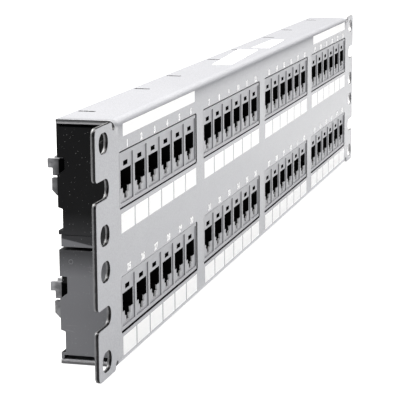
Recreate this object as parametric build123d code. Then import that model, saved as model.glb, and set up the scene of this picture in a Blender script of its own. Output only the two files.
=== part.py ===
from build123d import *
import os

# Punch down patch panel, 48 ports in two rows, for two units of a 19 inch rack.
# All sizes are in millimetres. +X runs along the panel, +Y points to the rear and +Z up.
# The origin is the middle of the plane in which the ears bear on the rack rails.

# Counts
modules_per_row = 4
ports_per_module = 6
pairs_per_port_row = 2

# How far a cutter reaches past the surface that it cuts
past = 1.0

# Folded sheet
sheet = 1.6
panel_height = 88.1
ear_width = 21.3
flange_depth = 20.1
bend_inner_radius = 1.0
relief_width = 3.2
relief_overcut = 0.5
ear_outer_radius = 2.5
ear_inner_chamfer = 1.1

# Rack fixing slots, at the hole steps of the rack standard
slot_inset = 8.75
slot_length = 9.7
slot_height = 7.2
notch_height = 7.0
notch_depth = 13.8
notch_mouth_radius = 1.75
rack_step = 15.875
rack_gap = 12.7

# Port rows and cut-outs
row_pitch = 44.45
port_pitch = 16.5
cutout_margin = 0.5
cutout_height = 20.3
cutout_corner = 0.7
cutout_web = 10.6

# Jack block
block_clearance = 0.4
block_reveal = 0.2
block_depth = 13.5
shoulder_width = 1.2
rail_height = 1.3
rib_width = 2.0
port_recess = 0.5
socket_width = 12.5
socket_top = 3.2
socket_bottom = -3.4
step_width = 6.6
step_bottom = -5.5
latch_width = 3.4
latch_bottom = -7.5
socket_back_wall = 1.2
light_hole_width = 5.0
light_hole_height = 1.7
light_hole_rise = 5.2
light_hole_depth = 4.0

# Contact carrier under the roof of each socket
carrier_clearance = 0.3
carrier_setback = 2.5
carrier_drop = 1.5

# Module frame, the black housing behind the sheet
frame_margin = 3.6
frame_end_play = 0.5
frame_wall = 1.7
frame_front_wall = 2.0
frame_depth = 20.2
frame_window_clearance = 0.6
frame_upper_play = 0.1
frame_lower_play = 0.5
seat_depth = 1.2
seat_play = 0.1
mouth_top_upper = 8.2
mouth_top_lower = 10.0
mouth_bottom = 1.9
mouth_lead = 2.0
mouth_depth = 2.8
finger_top = -9.6
finger_draft = 0.5
finger_foot_upper = 1.575
finger_foot_lower = 0.975
finger_depth = 1.7

# Snap tabs of the frames and their slots in the flanges
tab_offset = 33.0
tab_width = 1.0
tab_length = 5.4
tab_inset = 4.2
tab_slot_clearance = 0.15
tab_recess = 0.15

# Rear strip between the two rows
strip_height = 4.2
strip_setback = 0.9
strip_top_gap = 0.1
strip_bottom_gap = 1.1

# Circuit board
board_thickness = 1.6
board_clearance = 0.3

# Punch down block with its two rows of teeth
idc_base = 3.4
idc_end_wall = 2.0
idc_upper_top = 7.35
idc_lower_bottom = -5.75
idc_gap_top = 1.35
idc_gap_bottom = 0.45
idc_upper_height = 9.4
idc_upper_ledge = 4.05
idc_ledge_height = 7.6
idc_lower_height = 7.9
idc_chamfer = 1.8
tooth_setback = 0.4
tooth_foot = 5.0

# Blank stickers on the upper flange, with their corners in X and Y
sticker_thickness = 0.12
long_sticker = [(-44.5, 10.9), (-42.7, 2.4), (22.6, 5.8), (23.1, 15.7)]
short_sticker = [(31.9, 11.3), (33.6, 2.6), (74.7, 4.4), (73.4, 10.7)]

# Sizes worked out from the ones above
module_width = ports_per_module * port_pitch
cutout_width = module_width + 2 * cutout_margin
module_pitch = cutout_width + cutout_web
frame_width = cutout_width + 2 * frame_margin
flange_length = (modules_per_row - 1) * module_pitch + frame_width + 2 * frame_end_play
panel_width = flange_length + 2 * ear_width
bend_outer_radius = bend_inner_radius + sheet
inner_half_height = panel_height / 2 - sheet
frame_gaps = [bend_inner_radius + frame_upper_play, bend_inner_radius + frame_lower_play]
rows_space = 2 * inner_half_height - sum(frame_gaps)
mouth_tops = [mouth_top_upper, mouth_top_lower]
finger_feet = [finger_foot_upper, finger_foot_lower]
tab_center_depth = flange_depth - tab_inset
frame_height = (rows_space - strip_height - strip_top_gap - strip_bottom_gap) / 2
block_width = cutout_width - 2 * block_clearance
block_height = cutout_height - 2 * block_clearance
block_front = block_reveal - sheet
board_front = block_depth
board_back = board_front + board_thickness
module_xs = [(i - (modules_per_row - 1) / 2) * module_pitch for i in range(modules_per_row)]
port_xs = [(i - (ports_per_module - 1) / 2) * port_pitch for i in range(ports_per_module)]
row_zs = [row_pitch / 2, -row_pitch / 2]


def across(outline, y_front, y_back):
    """Solid between two depths, from an outline drawn in X and Z."""
    return extrude(Plane.XZ.offset(-y_front) * outline, amount=y_front - y_back)


def along(outline, x_left, x_right):
    """Solid between two places along the panel, from an outline drawn in Y and Z."""
    return extrude(Plane.YZ.offset(x_left) * outline, amount=x_right - x_left)


def upright(outline, z_low, z_high):
    """Solid between two heights, from an outline drawn in X and Y."""
    return extrude(Plane.XY.offset(z_low) * outline, amount=z_high - z_low)


def box_between(x0, x1, y0, y1, z0, z1):
    """Square-edged box between two opposite corners."""
    center = ((x0 + x1) / 2, (y0 + y1) / 2, (z0 + z1) / 2)
    return Pos(*center) * Box(abs(x1 - x0), abs(y1 - y0), abs(z1 - z0))


def corners_at(outline, points):
    """Corners of an outline that lie at the given points."""
    return [v for v in outline.vertices() for p in points if abs(v.X - p[0]) + abs(v.Y - p[1]) < 1e-3]


def corner_fillet(outline, points, radius):
    """Round the corners of an outline that lie at the given points."""
    return fillet(corners_at(outline, points), radius)


def channel():
    """Front plate and both flanges, folded from one sheet."""
    depth = sheet + flange_depth
    outer = Pos(flange_depth - depth / 2, 0) * Rectangle(depth, panel_height)
    front = -sheet
    half = panel_height / 2
    outer = corner_fillet(outer, [(front, half), (front, -half)], bend_outer_radius)
    inner = Pos(flange_depth, 0) * Rectangle(2 * flange_depth, 2 * inner_half_height)
    inner = corner_fillet(inner, [(0, inner_half_height), (0, -inner_half_height)], bend_inner_radius)
    return along(outer - inner, -flange_length / 2, flange_length / 2)


def ear_outline():
    """Right ear with its bend reliefs, rack slots and open notch, drawn in X and Z."""
    root = flange_length / 2
    edge = panel_width / 2
    half = panel_height / 2
    relief_end = root + relief_width
    relief_floor = half - bend_outer_radius - relief_overcut
    ear = Pos((root + edge) / 2, 0) * Rectangle(edge - root, panel_height)
    relief_mid = (root + relief_end) / 2
    for side in (1, -1):
        ear -= Pos(relief_mid, side * (relief_floor + half) / 2) * Rectangle(relief_width, half - relief_floor)
    ear = corner_fillet(ear, [(edge, half), (edge, -half)], ear_outer_radius)
    inner_corners = corners_at(ear, [(relief_end, half), (relief_end, -half)])
    ear = chamfer(inner_corners, ear_inner_chamfer)
    notch_z = rack_gap / 2 + rack_step
    notch_end = edge - notch_depth + notch_height / 2
    for side in (1, -1):
        ear -= Pos((notch_end + edge) / 2, side * notch_z) * Rectangle(edge - notch_end, notch_height)
        ear -= Pos(notch_end, side * notch_z) * Circle(notch_height / 2)
    mouths = [(edge, side * (notch_z + rim * notch_height / 2)) for side in (1, -1) for rim in (1, -1)]
    ear = corner_fillet(ear, mouths, notch_mouth_radius)
    for z in (rack_gap / 2, rack_gap / 2 + 2 * rack_step):
        for side in (1, -1):
            ear -= Pos(edge - slot_inset, side * z) * SlotOverall(slot_length, slot_height)
    return ear


def flange_slot_xs():
    """Places along the panel of the slots that take the frames' snap tabs."""
    return [x + side * tab_offset for x in module_xs for side in (-1, 1)]


def panel():
    """Folded steel sheet with two ears, eight cut-outs and the tab slots in its flanges."""
    ear = across(ear_outline(), -sheet, 0)
    body = channel() + ear + mirror(ear, Plane.YZ)
    opening = chamfer(Rectangle(cutout_width, cutout_height).vertices(), cutout_corner)
    for x in module_xs:
        for z in row_zs:
            body -= across(Pos(x, z) * opening, -sheet - past, past)
    slot_width = tab_width + 2 * tab_slot_clearance
    slot_run = tab_length + 2 * tab_slot_clearance
    for x in flange_slot_xs():
        body -= Pos(x, tab_center_depth, 0) * Box(slot_width, slot_run, panel_height + 2 * past)
    return body


def socket_outline():
    """Stepped socket mouth: the plug's width, then the latch's step and its narrow foot."""
    half, step, latch = socket_width / 2, step_width / 2, latch_width / 2
    left = [(-half, socket_top), (-half, socket_bottom), (-step, socket_bottom), (-step, step_bottom),
            (-latch, step_bottom), (-latch, latch_bottom)]
    right = [(-x, z) for x, z in reversed(left)]
    return make_face(Polyline(*left, *right, close=True))


def jack_block():
    """Grey moulding with six sockets, a light hole over each, and a shoulder behind the frame's wall."""
    body = across(Rectangle(block_width, block_height), block_front, frame_front_wall)
    wide = block_width + 2 * shoulder_width
    tall = block_height + 2 * shoulder_width
    body += across(Rectangle(wide, tall), frame_front_wall, block_depth)
    port_face = block_front + port_recess
    recess = Rectangle(port_pitch - rib_width, block_height - 2 * rail_height)
    socket = socket_outline()
    hole = Pos(0, light_hole_rise) * Rectangle(light_hole_width, light_hole_height)
    for x in port_xs:
        body -= across(Pos(x, 0) * recess, block_front - past, port_face)
        body -= across(Pos(x, 0) * socket, port_face - past, block_depth - socket_back_wall)
        body -= across(Pos(x, 0) * hole, port_face - past, port_face + light_hole_depth)
    return body


def contact_carriers():
    """Six wedges that carry the spring contacts under the roofs of the sockets."""
    back = block_depth - socket_back_wall
    front = block_front + port_recess + carrier_setback
    wedge = make_face(Polyline((front, socket_top), (back, socket_top), (back, socket_top - carrier_drop), close=True))
    half = socket_width / 2 - carrier_clearance
    return [along(wedge, x - half, x + half) for x in port_xs]


def frame_span(row):
    """Lower and upper edge of a row's frames."""
    edge = inner_half_height - frame_gaps[row]
    if row == 0:
        return edge - frame_height, edge
    return -edge, frame_height - edge


def strip_span():
    """Lower and upper edge of the strip between the rows."""
    top = frame_span(0)[0] - strip_top_gap
    return top - strip_height, top


def rim_cut(depth, floor_low, floor_high, rim_low, rim_high):
    """Cutter for a notch in the frame's rear rim, from its heights at its floor and at the rim."""
    reach = frame_depth + past
    grow = (depth + past) / depth
    low = floor_low + (rim_low - floor_low) * grow
    high = floor_high + (rim_high - floor_high) * grow
    floor = frame_depth - depth
    outline = Polyline((floor, floor_low), (floor, floor_high), (reach, high), (reach, low), close=True)
    return along(make_face(outline), -frame_width / 2 - past, frame_width / 2 + past)


def module_frame(row):
    """Black housing, open to the rear, with notched end walls, and a seat rib and two tabs for the flange."""
    low, high = frame_span(row)
    row_z = row_zs[row]
    half = frame_width / 2
    body = box_between(-half, half, 0, frame_depth, low, high)
    inside = half - frame_wall
    body -= box_between(-inside, inside, frame_front_wall, frame_depth + past, low + frame_wall, high - frame_wall)
    window = Rectangle(block_width + frame_window_clearance, block_height + frame_window_clearance)
    body -= across(Pos(0, row_z) * window, -past, frame_front_wall + past)
    mouth_low, mouth_high = row_z + mouth_bottom, row_z + mouth_tops[row]
    body -= rim_cut(mouth_depth, mouth_low + mouth_lead, mouth_high, mouth_low, mouth_high)
    finger_low, finger_high = low + finger_feet[row], row_z + finger_top
    body -= rim_cut(finger_depth, finger_low, finger_high - finger_draft, finger_low, finger_high)
    side = 1 if row == 0 else -1
    root = high if row == 0 else low
    seat = side * (inner_half_height - seat_play)
    body += box_between(-half, half, frame_depth - seat_depth, frame_depth, root, seat)
    tip = side * (panel_height / 2 - tab_recess)
    y0 = tab_center_depth - tab_length / 2
    for x in (-tab_offset, tab_offset):
        body += box_between(x - tab_width / 2, x + tab_width / 2, y0, y0 + tab_length, root, tip)
    return body


def circuit_board(row):
    """Board behind the jack block that joins the contacts to the punch down block."""
    low, high = frame_span(row)
    half = frame_width / 2 - frame_wall - board_clearance
    edge = frame_wall + board_clearance
    return box_between(-half, half, board_front, board_back, low + edge, high - edge)


def tooth_comb(height, z_low, z_high):
    """One row of punch down teeth, each of them the point that splits a pair of wires."""
    floor = board_back + idc_base
    tip = board_back + height - tooth_setback
    pair = port_pitch / pairs_per_port_row
    count = ports_per_module * pairs_per_port_row
    points = [(-module_width / 2, board_back)]
    for i in range(count):
        middle = (i + 0.5 - count / 2) * pair
        points += [(middle - tooth_foot / 2, floor), (middle, tip), (middle + tooth_foot / 2, floor)]
    points += [(module_width / 2, board_back)]
    return upright(make_face(Polyline(*points, close=True)), z_low, z_high)


def idc_block():
    """Punch down block: base, two rows of teeth with a gap between, and a hooked wall at each end."""
    base_back = board_back + idc_base
    half = module_width / 2
    low_back = board_back + idc_lower_height
    high_back = board_back + idc_upper_height
    ledge_back = board_back + idc_ledge_height
    wall = Polyline((board_back, idc_lower_bottom), (low_back - idc_chamfer, idc_lower_bottom),
                    (low_back, idc_lower_bottom + idc_chamfer), (low_back, idc_gap_bottom),
                    (base_back, idc_gap_bottom), (base_back, idc_gap_top), (ledge_back, idc_gap_top),
                    (ledge_back, idc_upper_ledge), (high_back, idc_upper_ledge), (high_back, idc_upper_top),
                    (board_back, idc_upper_top), close=True)
    end = along(make_face(wall), half, half + idc_end_wall)
    body = box_between(-half, half, board_back, base_back, idc_lower_bottom, idc_upper_top)
    body += tooth_comb(idc_upper_height, idc_gap_top, idc_upper_top)
    body += tooth_comb(idc_lower_height, idc_lower_bottom, idc_gap_bottom)
    return body + end + mirror(end, Plane.YZ)


def row_strip():
    """Long moulding that closes the gap between the two rows of frames."""
    low, high = strip_span()
    half = (flange_length - 2 * frame_end_play) / 2
    return box_between(-half, half, 0, frame_depth - strip_setback, low, high)


def sticker(corners):
    """Blank paper sticker on the upper flange, from its corners in X and Y."""
    top = panel_height / 2
    return upright(make_face(Polyline(*corners, close=True)), top, top + sticker_thickness)


def place(shape, number):
    """Move a module's piece to its place, counted from the left in the upper row and then the lower."""
    row, column = divmod(number - 1, modules_per_row)
    return Pos(module_xs[column], 0, row_zs[row]) * shape


def slide(shape, number):
    """Move a piece that already stands at its height to its module's place along the panel."""
    return Pos(module_xs[(number - 1) % modules_per_row], 0, 0) * shape


os.makedirs("parts", exist_ok=True)
export_step(panel(), "parts/panel.step")
export_step(row_strip(), "parts/row_strip.step")
block = jack_block()
carriers = contact_carriers()
punch_block = idc_block()
for number in range(1, 2 * modules_per_row + 1):
    row = (number - 1) // modules_per_row
    export_step(place(block, number), f"parts/jack_block_{number}.step")
    export_step(Compound([place(wedge, number) for wedge in carriers]), f"parts/contact_carriers_{number}.step")
    export_step(slide(module_frame(row), number), f"parts/module_frame_{number}.step")
    export_step(slide(circuit_board(row), number), f"parts/circuit_board_{number}.step")
    export_step(place(punch_block, number), f"parts/idc_block_{number}.step")
export_step(sticker(long_sticker), "parts/sticker_long.step")
export_step(sticker(short_sticker), "parts/sticker_short.step")
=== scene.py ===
"""Dresses the punch down patch panel: sheet, mouldings, contacts, printing, light and camera."""

import logging
import math
from dataclasses import dataclass
from enum import Enum
from typing import Callable, Sequence

import bmesh
import bpy
from bmesh.types import BMesh
from bpy.types import Material, Mesh, Node, NodeSocket, NodeTree, Object
from mathutils import Matrix, Vector


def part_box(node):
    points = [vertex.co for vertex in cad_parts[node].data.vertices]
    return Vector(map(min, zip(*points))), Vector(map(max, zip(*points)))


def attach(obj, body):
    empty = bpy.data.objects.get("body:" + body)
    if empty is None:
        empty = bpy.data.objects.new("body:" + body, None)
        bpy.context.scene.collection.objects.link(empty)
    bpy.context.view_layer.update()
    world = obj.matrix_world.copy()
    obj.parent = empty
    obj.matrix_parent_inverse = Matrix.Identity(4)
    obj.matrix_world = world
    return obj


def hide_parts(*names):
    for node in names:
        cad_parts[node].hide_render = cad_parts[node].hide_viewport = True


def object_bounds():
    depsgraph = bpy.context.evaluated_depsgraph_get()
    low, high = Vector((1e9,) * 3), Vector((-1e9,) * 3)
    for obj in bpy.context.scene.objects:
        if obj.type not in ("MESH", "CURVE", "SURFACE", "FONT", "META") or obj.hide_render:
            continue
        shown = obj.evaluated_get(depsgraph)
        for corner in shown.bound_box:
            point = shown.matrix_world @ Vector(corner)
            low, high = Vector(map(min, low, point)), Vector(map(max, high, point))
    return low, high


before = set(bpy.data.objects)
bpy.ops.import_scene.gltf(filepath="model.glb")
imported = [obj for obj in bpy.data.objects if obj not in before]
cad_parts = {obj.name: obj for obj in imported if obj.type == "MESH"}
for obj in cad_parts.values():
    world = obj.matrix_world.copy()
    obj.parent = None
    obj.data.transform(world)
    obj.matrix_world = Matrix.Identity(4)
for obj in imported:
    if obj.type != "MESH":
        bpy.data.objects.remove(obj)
CAD_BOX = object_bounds()

MM = 0.001
MERGE_MM = 0.0005
FLAT_DEGREES = 1.0
SHARP_DEGREES = 30.0
BODY = "root"
MODULES_PER_ROW = 4
PORTS_PER_MODULE = 6
log = logging.getLogger("patch_panel")

Point = tuple[float, float]
Color = tuple[float, float, float]


class Row(Enum):
    """The two rows of ports."""

    UPPER = 0
    LOWER = 1


class Tooth(Enum):
    """The two kinds of punch down teeth."""

    POINTED = "pointed"
    FLAT = "flat"


class EdgeSide(Enum):
    """Which part of the sheet a cut edge belongs to."""

    PLATE = "plate"
    FOLD = "fold"


class Wiring:
    """Nodes and links of one node tree."""

    def __init__(self, tree: NodeTree) -> None:
        """Takes over a tree."""
        self.tree = tree

    def node(self, kind: str, inputs: dict | None = None, **settings: object) -> Node:
        """Adds a node, sets its options and fills its inputs.

        Args:
            kind: the node's type.
            inputs: values, sockets or signals by input name or number.
            settings: options of the node.

        Returns:
            The new node.
        """
        made = self.tree.nodes.new(kind)
        for key, value in settings.items():
            setattr(made, key, value)
        for key, value in (inputs or {}).items():
            self.feed(made.inputs[key], value)
        return made

    def out(self, kind: str, inputs: dict | None = None, output: str | int = 0,
            **settings: object) -> "Signal":
        """Adds a node and returns one of its outputs."""
        return Signal(self, self.node(kind, inputs, **settings).outputs[output])

    def feed(self, socket: NodeSocket, value: object) -> None:
        """Links an output to a socket, or sets the socket's value."""
        if isinstance(value, Signal):
            value = value.socket
        if isinstance(value, NodeSocket):
            self.tree.links.new(value, socket)
        else:
            socket.default_value = value


class Signal:
    """A node's output that takes part in arithmetic with numbers and other outputs."""

    def __init__(self, wiring: Wiring, socket: NodeSocket) -> None:
        """Remembers the socket and its tree."""
        self.wiring, self.socket = wiring, socket

    def step(self, operation: str, other: object = 0.0) -> "Signal":
        """One arithmetic step."""
        return self.wiring.out("ShaderNodeMath", {0: self, 1: other}, operation=operation)

    def __add__(self, other: object) -> "Signal":
        """Sum."""
        return self.step("ADD", other)

    def __sub__(self, other: object) -> "Signal":
        """Difference."""
        return self.step("SUBTRACT", other)

    def __mul__(self, other: object) -> "Signal":
        """Product."""
        return self.step("MULTIPLY", other)

    def __lt__(self, other: object) -> "Signal":
        """One where this is the lesser, nought elsewhere."""
        return self.step("LESS_THAN", other)

    def __gt__(self, other: object) -> "Signal":
        """One where this is the greater, nought elsewhere."""
        return self.step("GREATER_THAN", other)

    def __abs__(self) -> "Signal":
        """Size without its sign."""
        return self.step("ABSOLUTE")

    def most(self, other: object) -> "Signal":
        """The greater of the two."""
        return self.step("MAXIMUM", other)

    def ramp(self, low: object, high: object, start: float = 0.0, end: float = 1.0,
             kind: str = "LINEAR") -> "Signal":
        """Maps one range to another, held at both ends."""
        inputs = {"Value": self, "From Min": low, "From Max": high, "To Min": start, "To Max": end}
        return self.wiring.out("ShaderNodeMapRange", inputs, interpolation_type=kind)

    def pick(self, first: "Signal", second: "Signal") -> "Signal":
        """The first number where this is nought and the second where it is one."""
        return self.wiring.out("ShaderNodeMix", {0: self, 2: first, 3: second})

    def blend(self, first: object, second: object) -> "Signal":
        """The same with two colours."""
        colors = {6: opaque(first), 7: opaque(second)}
        return self.wiring.out("ShaderNodeMix", {0: self, **colors}, 2, data_type="RGBA")


def opaque(color: object) -> object:
    """A colour with full alpha; a signal stays as it is."""
    return (*color, 1.0) if isinstance(color, tuple) and len(color) == 3 else color


class Recipe(Wiring):
    """A material's node tree while it is being put together, with lengths in millimetres."""

    def __init__(self, name: str) -> None:
        """Starts an empty tree with one surface shader.

        Args:
            name: the material's name.
        """
        self.material = bpy.data.materials.new(name)
        self.material.use_nodes = True
        super().__init__(self.material.node_tree)
        self.tree.nodes.clear()
        self.surface = self.node("ShaderNodeBsdfPrincipled")
        self.node("ShaderNodeOutputMaterial", {"Surface": self.surface.outputs["BSDF"]})
        self.place = self.out("ShaderNodeTexCoord", output="Object")

    def stretched(self, *scale: float) -> Signal:
        """Object coordinates, scaled along each axis."""
        return self.out("ShaderNodeMapping", {"Vector": self.place, "Scale": scale})

    def noise(self, scale: float, detail: float = 3.0, place: Signal | None = None) -> Signal:
        """Smooth noise, with scale in features for each metre."""
        inputs = {"Vector": place or self.place, "Scale": scale, "Detail": detail}
        return self.out("ShaderNodeTexNoise", inputs, "Fac")

    def specks(self, scale: float, size: float, missing: float) -> Signal:
        """One at small round specks and nought elsewhere.

        Args:
            scale: cells for each metre.
            size: radius of a speck as a share of its cell.
            missing: share of the cells without a speck.

        Returns:
            The mask.
        """
        cells = self.node("ShaderNodeTexVoronoi", {"Vector": self.place, "Scale": scale}).outputs
        chance = self.out("ShaderNodeSeparateColor", {0: cells["Color"]})
        return (Signal(self, cells["Distance"]) < size) * (chance > missing)

    def axis(self, letter: str) -> Signal:
        """One coordinate of the object's own frame, in millimetres."""
        return self.out("ShaderNodeSeparateXYZ", {0: self.place}, letter) * (1 / MM)

    def bump(self, height: Signal, depth_mm: float = 1.0, strength: float = 1.0) -> None:
        """Raises the surface.

        Args:
            height: the height, as a share of the depth.
            depth_mm: the relief's full depth.
            strength: how much of it shows.
        """
        inputs = {"Height": height, "Distance": depth_mm * MM, "Strength": strength}
        self.feed(self.surface.inputs["Normal"], self.out("ShaderNodeBump", inputs))

    def set(self, **values: object) -> None:
        """Sets sockets of the surface shader, written with underscores for spaces."""
        for key, value in values.items():
            self.feed(self.surface.inputs[key.replace("_", " ")], value)


class Finish:
    """A named finish. Each kind mixes its own recipe; lengths are in millimetres."""

    name: str

    def material(self) -> Material:
        """Builds the material."""
        made = Recipe(self.name)
        self.mix(made)
        return made.material


@dataclass(frozen=True)
class SatinPaint(Finish):
    """Powder paint on the folded sheet: fine grain, faint mottling, a soft sheen."""

    name: str = "satin_grey_paint"
    color: Color = (0.404, 0.409, 0.434)
    shade: Color = (0.388, 0.393, 0.418)
    roughness: float = 0.22
    grain_per_metre: float = 2300.0
    grain_height: float = 0.005
    crown_start: float = 36.2
    crown_rate: float = 0.021
    crown_fade: Point = (216.5, 219.9)

    def crown(self, made: Recipe) -> Signal:
        """How far the front rolls off next to its two bends, short of the ears."""
        run = (abs(made.axis("Z")) - self.crown_start).most(0.0)
        return run * run * -self.crown_rate * abs(made.axis("X")).ramp(*self.crown_fade, 1.0, 0.0)

    def mix(self, made: Recipe) -> None:
        """Mottled and flecked grey over grain and crown."""
        grain = made.noise(self.grain_per_metre, 2.0)
        mottled = made.noise(38.0, 4.0).ramp(0.25, 0.75).blend(self.shade, self.color)
        fleck = grain.ramp(0.30, 0.70, 0.90, 1.08)
        toned = made.out("ShaderNodeVectorMath", {0: mottled, 1: fleck}, operation="MULTIPLY")
        rough = grain.ramp(0.2, 0.8, self.roughness - 0.02, self.roughness + 0.03)
        made.set(Base_Color=toned, Roughness=rough, Specular_IOR_Level=0.20)
        made.bump(grain * self.grain_height + self.crown(made))


@dataclass(frozen=True)
class ShearedEdge(Finish):
    """Cut edge of the sheet: burnished and dark by the outer face, torn and pale by the inner one, with a
    painted reflection that makes the torn band paler towards the right end.
    """

    name: str
    side: EdgeSide
    burnished: Color
    torn: Color
    sheet: float = 1.6
    inner_radius: float = 1.0
    fold_center: Point = (1.0, 41.45)
    burnished_share: Point = (0.62, 0.30)
    share_span: Point = (-150.0, 150.0)
    # Painted reflection: over this span the torn band turns paler towards the right end.
    reflected_torn: Color = (0.55, 0.55, 0.56)
    reflection_span: Point = (150.0, 200.0)

    def depth(self, made: Recipe) -> Signal:
        """Distance from the sheet's outer face."""
        if self.side is EdgeSide.PLATE:
            return made.axis("Y") + self.sheet
        back = (made.axis("Y") * -1.0 + self.fold_center[0]).most(0.0)
        rise = abs(made.axis("Z")) - self.fold_center[1]
        return (back * back + rise * rise).step("SQRT") * -1.0 + (self.inner_radius + self.sheet)

    def mix(self, made: Recipe) -> None:
        """Two bands with a ragged border between them."""
        border = made.noise(900.0, 3.0).ramp(0.3, 0.7, -0.05 * self.sheet, 0.05 * self.sheet)
        shares = (share * self.sheet for share in self.burnished_share)
        line = made.axis("X").ramp(*self.share_span, *shares)
        share = (self.depth(made) + border - line).ramp(-0.06, 0.06)
        # Painted reflection: the torn band is paler towards the right end.
        torn = made.axis("X").ramp(*self.reflection_span).blend(self.torn, self.reflected_torn)
        made.set(Base_Color=share.blend(self.burnished, torn), Metallic=0.6)
        made.set(Roughness=share.ramp(0.0, 1.0, 0.24, 0.50), Specular_IOR_Level=0.3)
        made.bump(made.noise(2600.0, 2.0, made.stretched(1.0, 0.15, 1.0)), 0.02, 0.35)


@dataclass(frozen=True)
class GreyMoulding(Finish):
    """Grey plastic of the jack blocks, with painted shade that turns it black in the sockets behind a thin
    grey face.
    """

    name: str = "grey_moulding"
    color: Color = (0.435, 0.439, 0.460)
    shade: Color = (0.400, 0.404, 0.425)
    # Painted light: pale colour for the lit ledge of the latch.
    lit_ledge: Color = (0.80, 0.80, 0.82)
    # Painted shade: near black for the plastic behind the front face.
    socket: Color = (0.002, 0.002, 0.0022)
    row_height: float = 22.225
    module_pitch: float = 110.6
    half_width: float = 49.0
    face: Point = (-0.85, -0.81)
    latch_face: Point = (-0.36, -0.20)
    latch_top: float = -3.5
    # Strength of the painted shade on walls that face the left end.
    side_shade: float = 0.45
    side_limit: float = -0.7

    def gap_shadow(self, made: Recipe) -> Signal:
        """Painted shadow: a dark line where a block's right end stands back in the cut-out."""
        along = (made.axis("X") + 2 * self.module_pitch).step("FLOORED_MODULO", self.module_pitch)
        return along > self.module_pitch / 2 + self.half_width

    def side(self, made: Recipe) -> Signal:
        """One on the shallow walls that face the panel's left end, which get painted shade."""
        normal = made.out("ShaderNodeNewGeometry", output="True Normal")
        return made.out("ShaderNodeSeparateXYZ", {0: normal}, "X") < self.side_limit

    def mix(self, made: Recipe) -> None:
        """Grey in front, with painted light on the latch's ledge and painted shade that is black inside and
        darker on walls that face the left end.
        """
        height, depth = made.axis("Z"), made.axis("Y")
        latch = (height - height.step("SIGN") * self.row_height) < self.latch_top
        start, end = (latch.ramp(0.0, 1.0, *pair) for pair in zip(self.face, self.latch_face))
        # Painted shade: black behind the thin front face, plus a painted shadow line at each block's right
        # end.
        inside = depth.ramp(start, end).most(self.gap_shadow(made))
        grey = made.noise(160.0, 4.0).ramp(0.3, 0.7).blend(self.shade, self.color)
        # Painted shade: walls that face the left end are darker.
        grey = (self.side(made) * self.side_shade).blend(grey, self.socket)
        # Painted light: the latch's ledge is pale.
        grey = (latch * depth.ramp(*self.face)).blend(grey, self.lit_ledge)
        made.set(Base_Color=inside.blend(grey, self.socket))
        made.set(Roughness=inside.ramp(0.0, 1.0, 0.38, 0.9))
        made.set(Specular_IOR_Level=inside.ramp(0.0, 1.0, 0.12, 0.05))
        made.bump(made.noise(5200.0, 2.0), 0.006, 0.4)


@dataclass(frozen=True)
class BlackMoulding(Finish):
    """Black plastic of the frames: satin, with dust and hairlines, and painted light and shadow on the left
    end.
    """

    name: str = "black_moulding"
    color: Color = (0.0040, 0.0041, 0.0045)
    cloud: Color = (0.0070, 0.0072, 0.0078)
    # Painted light: grey for the lit parts of the left end.
    painted_light_grey: Color = (0.150, 0.152, 0.162)
    dust: Color = (0.62, 0.62, 0.62)
    roughness: float = 0.40
    end_face: Point = (-219.45, -219.25)
    # Where the painted light and shadow lie on the left end: lower walls, the strip's lit band and the upper
    # walls.
    lower_wall: Point = (-12.0, -3.5)
    upper_wall: Point = (2.85, 11.0)
    strip: Point = (-1.6, 2.85)
    strip_line: Point = (-0.5, 0.19)
    strip_middle: float = 8.0
    seat: Point = (41.5, 41.6)

    def dirt(self, made: Recipe) -> Signal:
        """Specks of dust in patches and a few hairline scratches."""
        patches = made.noise(60.0, 2.0).ramp(0.38, 0.55, 0.35, 1.0)
        grains = made.specks(700.0, 0.13, 0.55).most(made.specks(1300.0, 0.13, 0.70) * 0.45)
        field = made.noise(160.0, 1.0, made.stretched(1.0, 0.2, 1.0))
        hair = abs(field - 0.5) < 0.006
        gate = made.noise(95.0, 2.0).ramp(0.60, 0.66)
        return (grains * patches).most(hair * gate * 0.12)

    def painted_light_share(self, made: Recipe) -> Signal:
        """Share of the painted light on the left end: strong low down, in a lit band on the strip below a
        painted shadow, faint above.
        """
        height = made.axis("Z")
        low = height.ramp(*self.lower_wall, 1.0, 0.30)
        high = height.ramp(*self.upper_wall, 0.16, 0.0)
        start, slope = self.strip_line
        line = made.axis("Y") * slope + (start - self.strip_middle * slope)
        band = (height - line).ramp(-0.25, 0.15, 1.0, 0.20)
        lower = (height > self.strip[0]).pick(low, band)
        whole = (height > self.strip[1]).pick(lower, high)
        return whole * made.axis("X").ramp(*self.end_face, 1.0, 0.0)

    def mix(self, made: Recipe) -> None:
        """Cloudy black under painted light and dust, with no gloss on the seat ribs."""
        cloud = made.noise(55.0, 4.0)
        base = cloud.ramp(0.35, 0.70).blend(self.color, self.cloud)
        # Painted light and shadow on the left end.
        base = self.painted_light_share(made).blend(base, self.painted_light_grey)
        made.set(Base_Color=(self.dirt(made) * 0.95).blend(base, self.dust))
        made.set(Roughness=cloud.ramp(0.3, 0.7, self.roughness - 0.05, self.roughness + 0.07))
        made.set(Specular_IOR_Level=abs(made.axis("Z")).ramp(*self.seat, 0.07, 0.0))
        made.bump(made.noise(1500.0, 3.0), 0.012, 0.35)


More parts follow.
